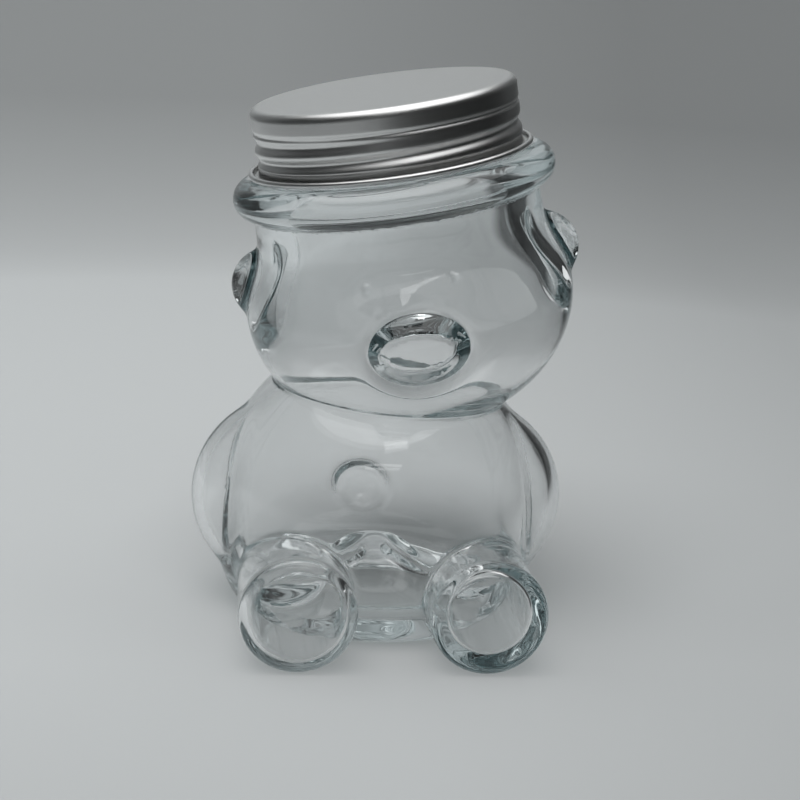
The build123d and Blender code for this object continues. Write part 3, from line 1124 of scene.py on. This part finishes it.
def addPanel(name, size, power, place, aim, mirrored):
    data = bpy.data.lights.new(name, "AREA")
    data.shape = "RECTANGLE"
    data.size, data.size_y = size
    data.energy = power
    panel = bpy.data.objects.new(name, data)
    bpy.context.scene.collection.objects.link(panel)
    panel.location = place
    panel.rotation_mode = "QUATERNION"
    panel.rotation_quaternion = (Vector(aim) - Vector(place)).to_track_quat("-Z", "Y")
    panel.visible_camera = False
    panel.visible_glossy = mirrored
    panel.visible_transmission = mirrored


def makeRoom():
    # a dim room for the light, and a pale ceiling behind the lamps for what metal and glass mirror
    world = bpy.data.worlds.new("tent_and_room")
    bpy.context.scene.world = world
    world.use_nodes = True
    tree = world.node_tree
    where = tree.nodes.new("ShaderNodeTexCoord")
    up = splitVector(tree, where.outputs["Generated"])["Z"]
    high = spreadFloat(tree, up, *studio["ceilingRange"], 0.0, 1.0)
    ceiling = ramp(tree, high, 0.0, 1.0, studio["roomColour"], studio["ceilingColour"])
    path = tree.nodes.new("ShaderNodeLightPath").outputs
    through = path["Is Transmission Ray"]
    glow = spreadFloat(tree, up, *studio["glowRange"], 0.0, studio["ceilingGlow"])
    glow = product(tree, glow, mathNode(tree, "SUBTRACT", 1.0, through))
    mix = tree.nodes.new("ShaderNodeMix")
    mix.data_type = "VECTOR"
    wire(tree, mathNode(tree, "MAXIMUM", path["Is Glossy Ray"], through), mix.inputs[0])
    mix.inputs[4].default_value = studio["roomColour"]
    wire(tree, scaled(tree, ceiling, mathNode(tree, "ADD", 1.0, glow)), mix.inputs[5])
    wire(tree, mix.outputs[1], tree.nodes["Background"].inputs["Color"])


def makeStudio(tree):
    makeSweep(tree)
    makeRoom()
    for name, lamp in lamps.items():
        addPanel(name, **lamp, mirrored=name in mirroredLamps)


camera = {
    "place": (-0.0573, -0.5015, 0.1895),
    "aim": (0.1177, 0.9587, -0.2588),
    "roll": 3.2,
    "lens": 93.6,
    "sensor": 36.0,
    "clip": (0.01, 20),
}


def makeCamera():
    data = bpy.data.cameras.new("photoCamera")
    data.sensor_width = camera["sensor"]
    data.lens = camera["lens"]
    data.clip_start, data.clip_end = camera["clip"]
    body = bpy.data.objects.new("photoCamera", data)
    bpy.context.scene.collection.objects.link(body)
    aim = Vector(camera["aim"]).normalized()
    right = aim.cross(Vector((0, 0, 1))).normalized()
    up = right.cross(aim)
    roll = math.radians(camera["roll"])
    across = right * math.cos(roll) + up * math.sin(roll)
    above = up * math.cos(roll) - right * math.sin(roll)
    turn = Matrix((across, above, -aim)).transposed()
    body.matrix_world = Matrix.Translation(Vector(camera["place"])) @ turn.to_4x4()
    bpy.context.scene.camera = body


rays = {
    "max_bounces": 48,
    "transmission_bounces": 40,
    "glossy_bounces": 40,  # inside thick glass a ray is thrown back many times
    "transparent_max_bounces": 32,
    "diffuse_bounces": 4,
    "caustics_reflective": False,
    "caustics_refractive": False,
    "sample_clamp_indirect": 8.0,
    "use_denoising": True,
}


def main():
    makeCamera()
    tree = turnedTree()
    makeStudio(tree)
    print("studio and camera made")

    grain = grainGroup()
    glass = makeGlass()
    glass.data.materials.clear()
    glass.data.materials.append(clearGlass())
    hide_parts("glass_jar")
    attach(glass, "jar")

    seat = headMatrix()
    lidSizes = {
        "Steps Round": lid["stepsRound"] + 1,
        "Steps Along": lid["stepsAlong"],
        "Groove Depth": lid["grooveDepth"],
        "Groove Half Width": neckFinish["pitch"] / 2,
        "Thread Pitch": neckFinish["pitch"],
        "Thread Turns": neckFinish["threadTurns"],
        "Thread Start Height": neckFinish["threadStart"],
        "Thread Start Turn": neckFinish["threadAngle"] / 360,
        "Finish": satinAluminium(grain),
    }
    shell = turnedPiece("rolled_lid", lidOutline(), tree, lidSizes, seat, lid["sheet"])
    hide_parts("lid_shell")
    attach(shell, "lid")
    print("lid rolled:", len(shell.data.polygons), "faces")

    linerSizes = {
        "Steps Round": liner["stepsRound"] + 1,
        "Steps Along": liner["stepsAlong"],
        "Groove Half Width": 1.0,
        "Thread Pitch": 1.0,
        "Finish": linerFoam(),
    }
    disc = turnedPiece("foam_liner", linerOutline(), tree, linerSizes, seat)
    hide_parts("lid_liner")
    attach(disc, "liner")
    print("liner made:", len(disc.data.polygons), "faces")

    scene = bpy.context.scene
    scene.view_settings.view_transform = "Standard"
    for name, value in rays.items():
        setattr(scene.cycles, name, value)


main()
